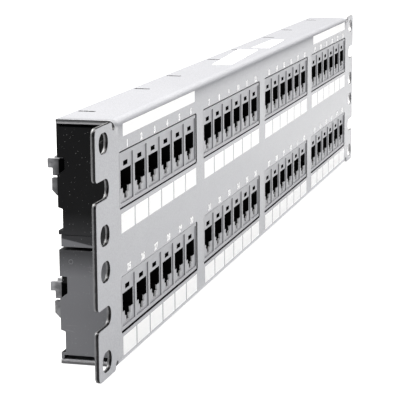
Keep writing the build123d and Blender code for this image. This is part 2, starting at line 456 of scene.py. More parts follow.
@dataclass(frozen=True)
class CloudyPolymer(Finish):
    """Hard cloudy grey plastic of the punch down blocks, with painted shade: black where it lies inside the
    frame, darker next to the frame on the left end.
    """

    name: str = "cloudy_polymer"
    color: Color = (0.26, 0.262, 0.275)
    shade: Color = (0.12, 0.121, 0.128)
    # Painted shade: near black where the block lies inside the frame.
    inner: Color = (0.0015, 0.0015, 0.0016)
    # Painted shade: darker grey next to the frame on the left end.
    shade_grey: Color = (0.045, 0.0455, 0.048)
    rim: Point = (20.25, 20.45)
    end_face: Point = (-217.3, -217.2)
    shade_depth: Point = (20.6, 23.6)
    shade_share: float = 0.85

    def mix(self, made: Recipe) -> None:
        """Flowing grey, with painted shade: darker by the frame on the left end, most on the upper row, and
        black inside.
        """
        flow = made.noise(420.0, 5.0, made.stretched(0.5, 1.0, 1.2))
        # Painted shade by the frame on the left end, stronger on the upper row, with less gloss there.
        deep = made.axis("Y").ramp(*self.shade_depth, self.shade_share, 0.0)
        on_end = made.axis("X").ramp(*self.end_face, 1.0, 0.0)
        painted_shade = deep * on_end * made.axis("Z").ramp(-1.0, 1.0, 0.15, 1.0)
        outer = painted_shade.blend(flow.ramp(0.35, 0.62).blend(self.shade, self.color), self.shade_grey)
        # Painted shade: black inside the frame, past the rim, with no gloss there.
        depth = made.axis("Y").ramp(*self.rim)
        made.set(Base_Color=depth.blend(self.inner, outer), Coat_Weight=0.0)
        made.set(Roughness=flow.ramp(0.3, 0.7, 0.24, 0.42))
        made.set(Specular_IOR_Level=depth * deep.ramp(0.0, self.shade_share, 0.40, 0.06))
        made.bump(made.noise(2600.0, 2.0), 0.012, 0.5)


@dataclass(frozen=True)
class BoardLacquer(Finish):
    """Green lacquered board with tracks that show through."""

    name: str = "board_lacquer"
    green: Color = (0.012, 0.085, 0.035)
    track: Color = (0.030, 0.150, 0.062)

    def mix(self, made: Recipe) -> None:
        """Bent tracks in patches."""
        inputs = {"Vector": made.place, "Scale": 260.0, "Distortion": 2.5, "Detail": 1.0}
        waves = made.out("ShaderNodeTexWave", inputs, "Fac", bands_direction="X")
        tracks = waves.ramp(0.55, 0.62) * made.noise(90.0, 1.0).ramp(0.46, 0.50)
        made.set(Base_Color=tracks.blend(self.green, self.track), Roughness=0.28)
        made.set(Coat_Weight=0.4, Coat_Roughness=0.12)
        made.bump(tracks, 0.03, 0.6)


@dataclass(frozen=True)
class PlatedMetal(Finish):
    """Thin plating on contacts and solder."""

    name: str
    color: Color
    shade: Color
    roughness: float

    def mix(self, made: Recipe) -> None:
        """Slightly uneven plating."""
        tone = made.noise(1800.0, 3.0)
        made.set(Base_Color=tone.blend(self.shade, self.color), Metallic=1.0)
        made.set(Roughness=tone.ramp(0.2, 0.8, self.roughness - 0.05, self.roughness + 0.08))
        made.bump(tone, 0.006, 0.3)


@dataclass(frozen=True)
class WhiteInk(Finish):
    """Screen printed white, a little uneven."""

    name: str = "white_ink"
    color: Color = (0.97, 0.97, 0.97)
    thin: Color = (0.92, 0.92, 0.925)

    def mix(self, made: Recipe) -> None:
        """White with thin spots."""
        cover = made.noise(1200.0, 4.0)
        made.set(Base_Color=cover.ramp(0.25, 0.5).blend(self.thin, self.color))
        made.set(Roughness=cover.ramp(0.2, 0.8, 0.38, 0.52))
        made.bump(made.noise(4200.0, 2.0), 0.004, 0.4)


@dataclass(frozen=True)
class StickerPaper(Finish):
    """White paper of the blank stickers."""

    name: str = "sticker_paper"
    color: Color = (0.92, 0.92, 0.91)
    shade: Color = (0.85, 0.85, 0.845)

    def mix(self, made: Recipe) -> None:
        """Fibres across the paper."""
        fibre = made.noise(1500.0, 5.0, made.stretched(1.0, 2.2, 1.0))
        made.set(Base_Color=fibre.ramp(0.3, 0.7).blend(self.shade, self.color))
        made.set(Roughness=fibre.ramp(0.2, 0.8, 0.55, 0.75))
        made.bump(fibre, 0.02, 0.4)


@dataclass(frozen=True)
class StudioSurface(Finish):
    """Pale matt floor."""

    name: str = "pale_floor"
    color: Color = (0.22, 0.22, 0.222)
    shade: Color = (0.21, 0.21, 0.212)
    glow: float = 0.93

    def mix(self, made: Recipe) -> None:
        """Faintly uneven grey that glows."""
        made.set(Base_Color=made.noise(3.0, 2.0).blend(self.shade, self.color), Roughness=0.75)
        made.set(Emission_Color=(1.0, 1.0, 1.0, 1.0), Emission_Strength=self.glow)


class Finishes:
    """All the finishes of the object, each built once."""

    def __init__(self) -> None:
        """Builds every material."""
        self.paint = SatinPaint().material()
        pale, dark = (0.15, 0.15, 0.155), (0.010, 0.010, 0.011)
        self.plate_edge = ShearedEdge("sheared_edge_plate", EdgeSide.PLATE, dark, pale).material()
        mid, light, deep = (0.09, 0.09, 0.093), (0.28, 0.28, 0.288), (0.006, 0.006, 0.007)
        self.fold_edge = ShearedEdge("sheared_edge_fold", EdgeSide.FOLD, mid, light).material()
        # Painted shade: the walls of the tab slots are near black, as shade fills the slots.
        self.slot_edge_shade = ShearedEdge("sheared_edge_slot", EdgeSide.FOLD, deep, dark).material()
        self.grey = GreyMoulding().material()
        self.black = BlackMoulding().material()
        self.rim = BlackMoulding("rubbed_black_rim", (0.10, 0.101, 0.106), (0.22, 0.221, 0.228)).material()
        self.polymer = CloudyPolymer().material()
        self.board = BoardLacquer().material()
        self.gold = PlatedMetal("gold_plating", (0.86, 0.60, 0.24), (0.70, 0.46, 0.16), 0.22).material()
        self.tin = PlatedMetal("tin_plating", (0.74, 0.74, 0.72), (0.58, 0.58, 0.57), 0.28).material()
        self.ink = WhiteInk().material()
        self.paper = StickerPaper().material()
        self.floor = StudioSurface().material()


def mesh_from(bm: BMesh, name: str) -> Mesh:
    """Turns a working mesh into a plain one and frees it."""
    mesh = bpy.data.meshes.new(name)
    bm.to_mesh(mesh)
    bm.free()
    return mesh


def shown(data: bpy.types.ID, name: str) -> Object:
    """Puts a mesh, curve, light or camera into the scene as an object at the origin."""
    made = bpy.data.objects.new(name, data)
    bpy.context.scene.collection.objects.link(made)
    return made


def evaluated_mesh(thing: Object) -> Mesh:
    """The mesh of an object with its modifiers or curve settings worked out."""
    graph = bpy.context.evaluated_depsgraph_get()
    return bpy.data.meshes.new_from_object(thing.evaluated_get(graph), depsgraph=graph)


def curve_mesh(curve: bpy.types.Curve) -> Mesh:
    """The mesh that a curve's settings give."""
    carrier = shown(curve, curve.name)
    mesh = evaluated_mesh(carrier)
    bpy.data.objects.remove(carrier)
    return mesh


def mark_smooth(bm: BMesh, angle: float) -> None:
    """Makes every face smooth and keeps edges sharper than an angle, in degrees, hard."""
    limit = math.radians(angle)
    for edge in bm.edges:
        edge.smooth = len(edge.link_faces) == 2 and edge.calc_face_angle(math.pi) < limit
    for face in bm.faces:
        face.smooth = True


def soften(thing: Object, angle: float = SHARP_DEGREES) -> None:
    """Smooths the shading below an angle and weighs normals by area, in the mesh itself.

    Args:
        thing: the object.
        angle: edges sharper than this, in degrees, stay hard.
    """
    mesh = thing.data
    bm = bmesh.new()
    bm.from_mesh(mesh)
    mark_smooth(bm, angle)
    bm.to_mesh(mesh)
    bm.free()
    weigh = thing.modifiers.new("weigh", "WEIGHTED_NORMAL")
    weigh.keep_sharp = True
    weigh.weight = 100
    baked = evaluated_mesh(thing)
    thing.modifiers.remove(weigh)
    thing.data = baked


def finish_piece(thing: Object, materials: Sequence[Material],
                 nodes: Sequence[str] = ()) -> Object:
    """Gives a piece its materials and its body, and hides the imported nodes that it replaces.

    Args:
        thing: the piece.
        materials: one material for each slot number in use.
        nodes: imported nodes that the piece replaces.

    Returns:
        The piece.
    """
    faces = thing.data.polygons
    slots = [0] * len(faces)
    faces.foreach_get("material_index", slots)
    thing.data.materials.clear()
    for material in materials:
        thing.data.materials.append(material)
    faces.foreach_set("material_index", slots)
    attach(thing, BODY)
    if nodes:
        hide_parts(*nodes)
    log.info("%s: %d faces", thing.name, len(thing.data.polygons))
    return thing


def box_into(bm: BMesh, low: Sequence[float], high: Sequence[float]) -> None:
    """Adds a box between two corners, in millimetres."""
    center = [(a + b) / 2 * MM for a, b in zip(low, high)]
    size = [(b - a) * MM for a, b in zip(low, high)]
    place = Matrix.Translation(center) @ Matrix.Diagonal((*size, 1.0))
    bmesh.ops.create_cube(bm, size=1.0, matrix=place)


def prism_into(bm: BMesh, outline: Sequence[Point],
               lift: Callable[[Point, float], Sequence[float]], start: float, end: float) -> None:
    """Adds a closed prism between two places along its own axis.

    Args:
        bm: the working mesh.
        outline: corners of the section, in millimetres.
        lift: gives the 3-D place, in millimetres, of a corner at a distance along the axis.
        start: where the prism begins, in millimetres.
        end: where it ends, in millimetres.
    """
    rings = [[bm.verts.new([c * MM for c in lift(p, d)]) for p in outline] for d in (start, end)]
    bm.faces.new(rings[0])
    bm.faces.new(rings[1])
    count = len(outline)
    for i in range(count):
        j = (i + 1) % count
        bm.faces.new((rings[0][i], rings[0][j], rings[1][j], rings[1][i]))
    bmesh.ops.recalc_face_normals(bm, faces=bm.faces)


def bevel_sharp(bm: BMesh, width_mm: float, segments: int = 2, angle: float = SHARP_DEGREES) -> None:
    """Rounds every edge sharper than an angle.

    Args:
        bm: the working mesh.
        width_mm: width of the rounding.
        segments: facets across it.
        angle: the least angle between faces, in degrees.
    """
    limit = math.radians(angle)
    sharp = [e for e in bm.edges if len(e.link_faces) == 2 and e.calc_face_angle(0.0) > limit]
    bmesh.ops.bevel(bm, geom=sharp, offset=width_mm * MM, segments=segments, profile=0.5, affect="EDGES",
                    clamp_overlap=True)


def rounded_copy(node: str, width_mm: float, name: str) -> Object:
    """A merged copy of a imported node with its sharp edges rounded.

    Args:
        node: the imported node.
        width_mm: width of the rounding.
        name: name of the new piece.

    Returns:
        The new object, not yet riding on a body.
    """
    bm = bmesh.new()
    bm.from_mesh(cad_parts[node].data)
    bmesh.ops.remove_doubles(bm, verts=bm.verts, dist=MERGE_MM * MM)
    bmesh.ops.dissolve_limit(bm, angle_limit=math.radians(FLAT_DEGREES), verts=bm.verts, edges=bm.edges)
    bevel_sharp(bm, width_mm)
    bmesh.ops.triangulate(bm, faces=[f for f in bm.faces if len(f.verts) > 4])
    made = shown(mesh_from(bm, name), name)
    soften(made)
    return made


def module_nodes(kind: str) -> list[str]:
    """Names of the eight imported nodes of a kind."""
    return [f"{kind}_{number}" for number in range(1, len(Row) * MODULES_PER_ROW + 1)]


def round_nodes(nodes: Sequence[str], width_mm: float, material: Material) -> None:
    """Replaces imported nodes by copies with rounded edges.

    Args:
        nodes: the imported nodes.
        width_mm: width of the rounding.
        material: material of the copies.
    """
    for node in nodes:
        made = rounded_copy(node, width_mm, f"dressed_{node}")
        finish_piece(made, [material], [node])


def dress_nodes(nodes: Sequence[str], material: Material) -> None:
    """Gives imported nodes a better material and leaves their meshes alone."""
    for node in nodes:
        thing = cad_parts[node]
        thing.data.materials.clear()
        thing.data.materials.append(material)


class Lattice(Wiring):
    """Repeats a part along the ports, the modules and the rows with Geometry Nodes."""

    LEVELS = (("Item", "X"), ("Port", "X"), ("Module", "X"), ("Row", "Z"))

    def __init__(self) -> None:
        """Builds the tree with its named inputs."""
        super().__init__(bpy.data.node_groups.new("lattice", "GeometryNodeTree"))
        self.socket("Geometry", "Geometry")
        for level, _ in self.LEVELS:
            self.socket(f"{level} Count", "Int")
            self.socket(f"{level} Pitch", "Float")
        self.socket("Material", "Material")
        self.socket("Geometry", "Geometry", "OUTPUT")
        self.given = self.node("NodeGroupInput").outputs
        geometry = self.given["Geometry"]
        for level, axis in self.LEVELS:
            geometry = self.repeat(geometry, level, axis)
        real = self.out("GeometryNodeRealizeInstances", {"Geometry": geometry})
        inputs = {"Geometry": real, "Material": self.given["Material"]}
        self.node("NodeGroupOutput", {"Geometry": self.out("GeometryNodeSetMaterial", inputs)})

    def socket(self, name: str, kind: str, in_out: str = "INPUT") -> None:
        """Adds a named input or output of the tree."""
        self.tree.interface.new_socket(name, in_out=in_out, socket_type=f"NodeSocket{kind}")

    def repeat(self, geometry: object, level: str, axis: str) -> Signal:
        """Adds one level of copies, centred on the part.

        Args:
            geometry: what is repeated.
            level: name of the level, which names its two inputs.
            axis: the axis that the copies lie along.

        Returns:
            The copies.
        """
        count = Signal(self, self.given[f"{level} Count"])
        step = self.out("ShaderNodeCombineXYZ", {axis: self.given[f"{level} Pitch"]})
        inputs = {0: step, "Scale": (count - 1.0) * -0.5}
        start = self.out("ShaderNodeVectorMath", inputs, operation="SCALE")
        inputs = {"Count": count, "Start Location": start, "Offset": step}
        line = self.out("GeometryNodeMeshLine", inputs, mode="OFFSET")
        return self.out("GeometryNodeInstanceOnPoints", {"Points": line, "Instance": geometry})

    def spread(self, part: Mesh, material: Material, slot: str,
               levels: dict[str, tuple[int, float]]) -> None:
        """Repeats a part and finishes the copies as one piece with the part's name.

        Args:
            part: the mesh of one part, placed for the middle of the lattice.
            material: material of the copies.
            slot: not used.
            levels: count and pitch in millimetres for each level in use.
        """
        made = shown(part, part.name)
        modifier = made.modifiers.new("lattice", "NODES")
        modifier.node_group = self.tree
        ids = {s.name: s.identifier for s in self.tree.interface.items_tree if s.in_out == "INPUT"}
        for level, _ in self.LEVELS:
            count, pitch = levels.get(level, (1, 0.0))
            modifier[ids[f"{level} Count"]] = count
            modifier[ids[f"{level} Pitch"]] = pitch * MM
        modifier[ids["Material"]] = material
        baked = evaluated_mesh(made)
        made.modifiers.remove(modifier)
        made.data = baked
        finish_piece(made, [material])


@dataclass
class Layout:
    """Where the rows, modules and ports lie, in millimetres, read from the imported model."""

    port_pitch: float = 16.5

    def __post_init__(self) -> None:
        """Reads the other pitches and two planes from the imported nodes."""
        first, second = self.middle("jack_block_1"), self.middle("jack_block_2")
        below = self.middle("jack_block_5")
        self.module_pitch = second.x - first.x
        self.row_pitch = first.z - below.z
        self.panel_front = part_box("panel")[0].y / MM
        self.board_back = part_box("circuit_board_1")[1].y / MM

    def middle(self, node: str) -> Vector:
        """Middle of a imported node, in millimetres."""
        low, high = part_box(node)
        return (low + high) / 2 / MM

    def ports(self) -> dict[str, tuple[int, float]]:
        """Lattice levels that reach every port."""
        return {"Port": (PORTS_PER_MODULE, self.port_pitch), **self.modules()}

    def modules(self) -> dict[str, tuple[int, float]]:
        """Lattice levels that reach every module."""
        return {"Module": (MODULES_PER_ROW, self.module_pitch), "Row": (len(Row), self.row_pitch)}

    def module_x(self, column: int) -> float:
        """Middle of a module along the panel."""
        return (column - (MODULES_PER_ROW - 1) / 2) * self.module_pitch

    def port_x(self, column: int, port: int) -> float:
        """Middle of a port along the panel."""
        return self.module_x(column) + (port - (PORTS_PER_MODULE - 1) / 2) * self.port_pitch

    def row_z(self, row: Row) -> float:
        """Height of a row's middle."""
        return self.row_pitch * (0.5 - row.value)


@dataclass
class FoldedSheet:
    """Panel cut from one flat blank and folded along its two bend lines. Sizes in millimetres."""

    sheet: float = 1.6
    inner_radius: float = 1.0
    print_depth: float = 0.03
    edge_round: float = 0.10
    flange_half: float = 220.0
    flange_margin: float = 0.5
    slot_margin: float = 5.0
    flat_limit: float = 0.999
    relief_width: float = 3.2
    relief_floor: float = 40.95
    corner: float = 2.5
    inner_corner: float = 1.3
    mouth_corner: float = 1.75
    slot_size: Point = (9.7, 7.2)
    slot_inset: float = 8.75
    slot_heights: Point = (6.35, 38.1)
    notch_height: float = 7.0
    notch_depth: float = 13.8
    notch_z: float = 22.225
    cutout: Point = (100.5, 20.5)
    cutout_corner: float = 1.1
    lower_drop: float = 0.3
    tab_slot: Point = (2.4, 6.2)
    tab_offset: float = 33.0
    tab_depth: float = 15.9
    tab_corner: float = 0.2
    smooth_angle: float = 35.0
    bend_steps: int = 8
    arc_steps: int = 10

    def measure(self) -> None:
        """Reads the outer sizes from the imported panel."""
        low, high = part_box("panel")
        self.half_width = high.x / MM
        self.half_height = high.z / MM
        self.flange_depth = high.y / MM
        self.bend_start = self.half_height - self.inner_radius - self.sheet
        self.bend_length = math.pi / 2 * (self.inner_radius + self.sheet / 2)
        self.blank_half = self.bend_start + self.bend_length + self.flange_depth - self.inner_radius

    def arc(self, center: Point, radius: float, start: int, sweep: int) -> list[Point]:
        """Points of an arc, in degrees counter-clockwise."""
        count = self.arc_steps * abs(sweep) // 90
        angles = [math.radians(start + sweep * i / count) for i in range(count + 1)]
        return [(center[0] + radius * math.cos(a), center[1] + radius * math.sin(a)) for a in angles]

    def quarter_outline(self) -> list[Point]:
        """Right upper quarter of the blank's outline, from the ear's middle up to the flange's edge."""
        edge, half, root = self.half_width, self.half_height, self.flange_half
        low, high = self.notch_z - self.notch_height / 2, self.notch_z + self.notch_height / 2
        end = edge - self.notch_depth + self.notch_height / 2
        mouth, corner, inner = self.mouth_corner, self.corner, self.inner_corner
        relief_end, relief = root + self.relief_width, self.relief_width / 2
        arcs = (((edge - mouth, low - mouth), mouth, 0, 90),
                ((end, self.notch_z), self.notch_height / 2, 270, -180),
                ((edge - mouth, high + mouth), mouth, 270, 90),
                ((edge - corner, half - corner), corner, 0, 90),
                ((relief_end + inner, half - inner), inner, 90, 90),
                ((root + relief, self.relief_floor + relief), relief, 0, -180))
        return [p for arc in arcs for p in self.arc(*arc)] + [(root, self.blank_half)]

    def outline(self) -> list[Point]:
        """The whole blank's outline, counter-clockwise."""
        quarter = self.quarter_outline()
        upper = quarter + [(-x, s) for x, s in reversed(quarter)]
        return upper + [(-x, -s) for x, s in upper]

    def slot(self, x: float, s: float) -> list[Point]:
        """A rack slot with round ends."""
        length, height = self.slot_size
        ends = ((x + (length - height) / 2, -90), (x - (length - height) / 2, 90))
        return [p for middle, start in ends for p in self.arc((middle, s), height / 2, start, 180)]

    def rounded(self, x: float, s: float, size: Point, corner: float) -> list[Point]:
        """A rectangle with round corners."""
        w, h = size[0] / 2 - corner, size[1] / 2 - corner
        centers = ((w, h, 0), (-w, h, 90), (-w, -h, 180), (w, -h, 270))
        return [p for cx, cy, a in centers for p in self.arc((x + cx, s + cy), corner, a, 90)]

    def holes(self, layout: Layout) -> list[list[Point]]:
        """Every hole of the blank: cut-outs, rack slots and tab slots."""
        made = []
        flange_s = self.bend_start + self.bend_length + self.tab_depth - self.inner_radius
        for column in range(MODULES_PER_ROW):
            x = layout.module_x(column)
            for row in Row:
                z = layout.row_z(row) - self.lower_drop * row.value
                made.append(self.rounded(x, z, self.cutout, self.cutout_corner))
            for side in (-1, 1):
                place = x + side * self.tab_offset
                for s in (-flange_s, flange_s):
                    made.append(self.rounded(place, s, self.tab_slot, self.tab_corner))
        ends, heights = self.half_width - self.slot_inset, self.slot_heights
        return made + [self.slot(a * ends, b * z) for a in (-1, 1) for z in heights for b in (-1, 1)]

    def blank(self, layout: Layout) -> Mesh:
        """The flat blank with round edges, from a filled curve."""
        curve = bpy.data.curves.new("blank", "CURVE")
        curve.dimensions = "2D"
        curve.fill_mode = "BOTH"
        for loop in [self.outline(), *self.holes(layout)]:
            spline = curve.splines.new("POLY")
            spline.points.add(len(loop) - 1)
            for point, (x, s) in zip(spline.points, loop):
                point.co = (x * MM, s * MM, 0.0, 1.0)
            spline.use_cyclic_u = True
        thick = self.sheet - self.print_depth
        curve.extrude = (thick / 2 - self.edge_round) * MM
        curve.bevel_depth = self.edge_round * MM
        curve.bevel_resolution = 2
        curve.offset = -self.edge_round * MM
        return curve_mesh(curve)

    def turn(self, x: float, s: float) -> float:
        """Angle through which the sheet has turned at a place of the blank, in radians."""
        if abs(x) > self.flange_half + self.flange_margin:
            return 0.0
        return min(max((abs(s) - self.bend_start) / self.bend_length, 0.0), 1.0) * math.pi / 2

    def fold(self, x: float, s: float, height: float) -> Vector:
        """Where a point of the flat blank lies on the folded sheet.

        Args:
            x: place along the panel.
            s: place across the blank.
            height: distance from the back surface.

        Returns:
            The folded place.
        """
        turn = self.turn(x, s)
        if turn == 0.0:
            return Vector((x, -height, s))
        sign = 1 if s >= 0 else -1
        radius = self.inner_radius + height
        past = max(abs(s) - self.bend_start - self.bend_length, 0.0)
        depth = self.inner_radius - radius * math.cos(turn) + past
        return Vector((x, depth, sign * (self.bend_start + radius * math.sin(turn))))

    def tip(self, normal: Vector, x: float, s: float) -> Vector:
        """Turns a direction of the flat blank with the fold at its place."""
        turn = self.turn(x, s) * (1 if s >= 0 else -1)
        cos, sin = math.cos(turn), math.sin(turn)
        return Vector((normal.x, normal.y * sin - normal.z * cos, normal.y * cos + normal.z * sin))

    def fold_mesh(self, mesh: Mesh) -> None:
        """Folds the blank's mesh and turns the shading normals of every face with it."""
        flat = [c.vector.copy() for c in mesh.corner_normals]
        for face in mesh.polygons:
            if abs(face.normal.z) > self.flat_limit:
                for i in face.loop_indices:
                    flat[i] = face.normal.copy()
        places = [(v.co.x / MM, v.co.y / MM) for v in mesh.vertices]
        turned = [self.tip(n, *places[loop.vertex_index]) for n, loop in zip(flat, mesh.loops)]
        thick = self.sheet - self.print_depth
        for vert in mesh.vertices:
            x, s, height = vert.co.x / MM, vert.co.y / MM, vert.co.z / MM + thick / 2
            vert.co = self.fold(x, s, height) * MM
        mesh.normals_split_custom_set(turned)

    def finish_number(self, face: bmesh.types.BMFace) -> int:
        """Paint for the flat faces, and the edge that a cut wall belongs to: plate, fold or slot."""
        if abs(face.normal.z) >= 0.5:
            return 0
        x, s, _ = (abs(c) / MM for c in face.calc_center_median())
        if s < self.bend_start or x > self.flange_half + self.flange_margin:
            return 1
        return 3 if x < self.flange_half - self.slot_margin else 2

    def build(self, layout: Layout, finishes: Finishes) -> Object:
        """Cuts, folds and dresses the sheet.

        Args:
            layout: where the cut-outs lie.
            finishes: the object's materials.

        Returns:
            The finished panel.
        """
        self.measure()
        bm = bmesh.new()
        bm.from_mesh(self.blank(layout))
        bmesh.ops.remove_doubles(bm, verts=bm.verts, dist=2 * MERGE_MM * MM)
        for sign in (-1, 1):
            for i in range(self.bend_steps + 1):
                s = sign * (self.bend_start + self.bend_length * i / self.bend_steps) * MM
                geometry = bm.verts[:] + bm.edges[:] + bm.faces[:]
                bmesh.ops.bisect_plane(bm, geom=geometry, plane_co=(0, s, 0), plane_no=(0, 1, 0), dist=1e-8)
        for face in bm.faces:
            face.material_index = self.finish_number(face)
        bmesh.ops.recalc_face_normals(bm, faces=bm.faces)
        mark_smooth(bm, self.smooth_angle)
        made = shown(mesh_from(bm, "folded_sheet"), "folded_sheet")
        self.fold_mesh(made.data)
        materials = (finishes.paint, finishes.plate_edge, finishes.fold_edge, finishes.slot_edge_shade)
        return finish_piece(made, materials, ["panel"])


@dataclass
class Printing:
    """White printing on the front: label fields, title bars and port numbers. Sizes in millimetres."""

    ink: float = 0.02
    field_size: Point = (15.2, 7.0)
    field_rise: float = -15.45
    field_corner: float = 0.35
    bar_size: Point = (93.4, 4.5)
    bar_rise: float = 17.35
    bar_shift: float = 0.95
    bar_columns: tuple[int, ...] = (0, 3)
    number_rise: float = 11.95
    number_height: float = 2.35
    digit_share: float = 0.70
    number_weight: float = 0.20
    number_stretch: float = 1.3
    number_shift: float = 0.5

    def plate(self, size: Point, x: float, z: float, front: float, name: str) -> Mesh:
        """A thin printed field with slightly round corners."""
        sheet = FoldedSheet()
        outline = sheet.rounded(x, z, size, self.field_corner)
        bm = bmesh.new()
        prism_into(bm, outline, lambda p, d: (p[0], d, p[1]), front, front + self.ink)
        return mesh_from(bm, name)

    def fields(self, layout: Layout, lattice: Lattice, finishes: Finishes) -> None:
        """Prints the square under every port."""
        part = self.plate(self.field_size, 0.0, self.field_rise, layout.panel_front, "label_fields")
        lattice.spread(part, finishes.ink, "white_paper", layout.ports())

    def bars(self, layout: Layout, finishes: Finishes) -> None:
        """Prints the long bars over the first and last module of the upper row."""
        for column in self.bar_columns:
            x = layout.module_x(column) + self.bar_shift
            z = layout.row_z(Row.UPPER) + self.bar_rise
            name = f"title_bar_{column + 1}"
            made = shown(self.plate(self.bar_size, x, z, layout.panel_front, name), name)
            finish_piece(made, [finishes.ink])

    def number(self, text: str, x: float, z: float, front: float) -> Mesh:
        """One port number as a thin mesh, upright on the front.

        Args:
            text: the digits.
            x: middle of the number along the panel.
            z: its middle height.
            front: depth of the surface that it is printed on.

        Returns:
            The number's mesh.
        """
        curve = bpy.data.curves.new("number", "FONT")
        curve.body = text
        curve.size = self.number_height / self.digit_share * MM
        curve.align_x = "CENTER"
        curve.align_y = "CENTER"
        curve.offset = self.number_weight * MM
        curve.resolution_u = 3
        curve.extrude = self.ink / 2 * MM
        mesh = curve_mesh(curve)
        upright = Matrix.Rotation(math.pi / 2, 4, "X")
        place = Matrix.Translation((x * MM, (front + self.ink / 2) * MM, z * MM))
        wide = Matrix.Diagonal((self.number_stretch, 1.0, 1.0, 1.0))
        mesh.transform(place @ upright @ wide)
        return mesh

    def numbers(self, layout: Layout, finishes: Finishes) -> None:
        """Prints plain port numbers, counted from the upper left."""
        bm = bmesh.new()
        for i in range(len(Row) * MODULES_PER_ROW * PORTS_PER_MODULE):
            module, port = divmod(i, PORTS_PER_MODULE)
            row, column = divmod(module, MODULES_PER_ROW)
            x = layout.port_x(column, port) + self.number_shift
            z = layout.row_z(Row(row)) + self.number_rise
            bm.from_mesh(self.number(str(i + 1), x, z, layout.panel_front))
        made = shown(mesh_from(bm, "port_numbers"), "port_numbers")
        finish_piece(made, [finishes.ink])

    def build(self, layout: Layout, lattice: Lattice, finishes: Finishes) -> None:
        """Prints everything on the front."""
        self.fields(layout, lattice, finishes)
        self.bars(layout, finishes)
        self.numbers(layout, finishes)


@dataclass
class JackBlocks:
    """Grey jack blocks with their contact carriers and spring contacts. Sizes in millimetres."""

    edge_round: float = 0.08
    contacts_per_port: int = 8
    contact_pitch: float = 1.02
    wire: float = 0.42
    socket_roof: float = 3.2
    tip_drop: float = 3.6

    def wire_path(self) -> list[Point]:
        """Side view of one spring contact, from the carrier's front round to its free end."""
        return [(2.2, self.socket_roof - 0.35), (3.4, self.socket_roof - 0.9), (5.2, self.socket_roof - 1.3),
                (9.4, self.socket_roof - self.tip_drop + 0.4), (10.6, self.socket_roof - self.tip_drop),
                (11.4, self.socket_roof - self.tip_drop + 0.1)]

    def contact(self) -> Mesh:
        """One spring contact as a flat sprung strip."""
        path = self.wire_path()
        half = self.wire / 2
        outline = [(y, z + half) for y, z in path] + [(y, z - half) for y, z in reversed(path)]
        bm = bmesh.new()
        prism_into(bm, outline, lambda p, d: (d, p[0], p[1]), -half, half)
        return mesh_from(bm, "spring_contacts")

    def build(self, layout: Layout, lattice: Lattice, finishes: Finishes) -> None:
        """Dresses the blocks and carriers and adds the contacts."""
        round_nodes(module_nodes("jack_block"), self.edge_round, finishes.grey)
        dress_nodes(module_nodes("contact_carriers"), finishes.black)
        levels = {"Item": (self.contacts_per_port, self.contact_pitch), **layout.ports()}
        lattice.spread(self.contact(), finishes.gold, "clear_grey_plastic", levels)


@dataclass
class ModuleFrames:
    """Black frames behind the sheet, with the ring marks of their ejector pins. Sizes in millimetres."""

    edge_round: float = 0.16
    ring_radius: float = 0.75
    ring_wire: float = 0.14
    ring_steps: tuple[int, int] = (20, 6)
    ring_place: Point = (15.8, 15.5)
    lip: tuple[Point, Point] = ((15.3, 19.9), (7.2, 10.4))
    lip_inset: Point = (1.95, 1.65)

    def ring(self, half: float) -> Mesh:
        """Ring mark on both end walls of a frame.

        Args:
            half: half the frame's width.

        Returns:
            The mesh of both marks, placed for the middle module.
        """
        bm = bmesh.new()
        around, across = self.ring_steps
        for side in (-1, 1):
            verts = []
            for i in range(around * across):
                a, b = 2 * math.pi * (i // across) / around, 2 * math.pi * (i % across) / across
                r = self.ring_radius + self.ring_wire * math.cos(b)
                x = side * (half + self.ring_wire / 2 * math.sin(b))
                y, z = self.ring_place[0] + r * math.cos(a), self.ring_place[1] + r * math.sin(a)
                verts.append(bm.verts.new((x * MM, y * MM, z * MM)))
            for i in range(around * across):
                ring, j = i - i % across, (i + 1) % across
                after = (ring + across) % len(verts)
                bm.faces.new([verts[k] for k in (i, after + i % across, after + j, ring + j)])
        bmesh.ops.recalc_face_normals(bm, faces=bm.faces)
        return mesh_from(bm, "ejector_marks")

    def lips(self, half: float) -> Mesh:
        """Thin lip behind the upper part of each mouth.

        Args:
            half: half the frame's width.

        Returns:
            The mesh of both lips, placed for the middle module.
        """
        bm = bmesh.new()
        (front, back), (foot, top) = self.lip
        inner, outer = (half - inset for inset in self.lip_inset)
        box_into(bm, (inner, front, foot), (outer, back, top))
        box_into(bm, (-outer, front, foot), (-inner, back, top))
        return mesh_from(bm, "mouth_lips")

    def build(self, layout: Layout, lattice: Lattice, finishes: Finishes) -> None:
        """Dresses the frames and adds the lips and ring marks."""
        round_nodes(module_nodes("module_frame"), self.edge_round, finishes.black)
        low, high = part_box("module_frame_1")
        half = (high.x - low.x) / 2 / MM
        levels = {"Module": (MODULES_PER_ROW, layout.module_pitch)}
        for part, finish in ((self.ring(half), finishes.rim), (self.lips(half), finishes.black)):
            part.transform(Matrix.Translation((0.0, 0.0, layout.row_z(Row.LOWER) * MM)))
            lattice.spread(part, finish, "black_plastic", levels)
        round_nodes(["row_strip"], self.edge_round, finishes.black)


